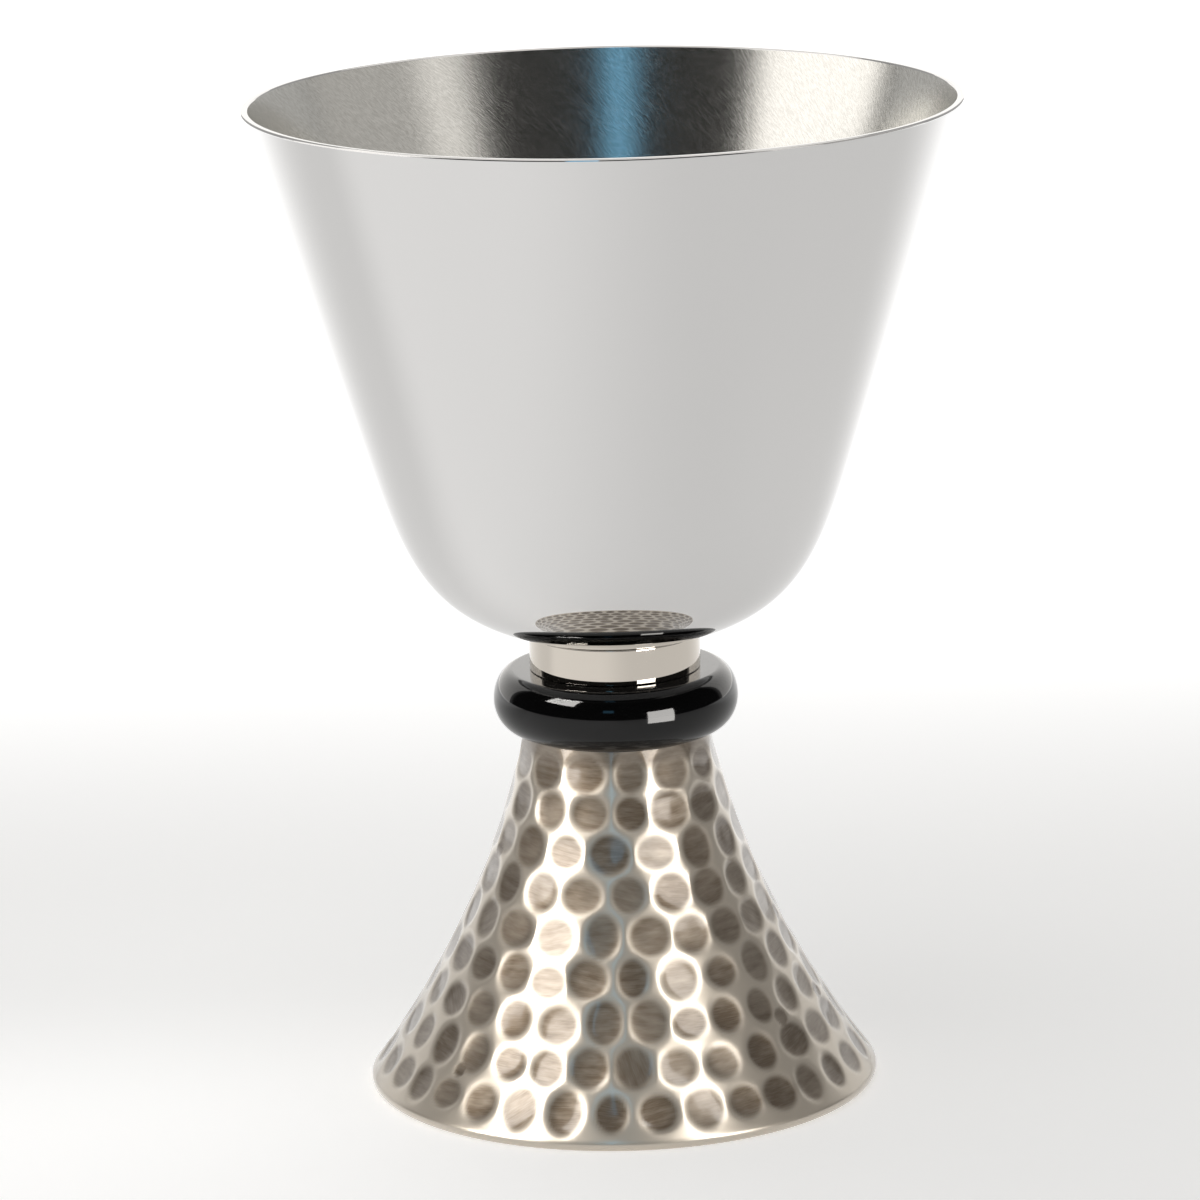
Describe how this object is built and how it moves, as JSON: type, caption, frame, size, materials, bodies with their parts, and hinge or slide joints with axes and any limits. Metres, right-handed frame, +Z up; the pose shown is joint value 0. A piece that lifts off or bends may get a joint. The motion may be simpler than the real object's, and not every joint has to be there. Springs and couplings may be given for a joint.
{
  "type": "chalice",
  "caption": "Stem chalice: polished flaring bowl, plain collar, glossy black knop and a hammered trumpet foot, hollow and open below.",
  "frame": {"origin": "centre of the foot's standing plane", "axes": "+Z up along the turning axis, from the foot to the rim"},
  "size_m": [0.1136, 0.1136, 0.16],
  "materials": {
    "bright_silver": "silver plate, mirror polished outside and brushed satin inside",
    "polished_silver": "silver plate, mirror polished",
    "hammered_silver": "silver plate, hammered, with dark patina in the dimples",
    "black_gloss": "black, high gloss"
  },
  "bodies": {
    "root": {"foot": "hammered_silver", "knop": "black_gloss", "collar": "polished_silver", "bowl": "bright_silver"}
  },
  "joints": []
}
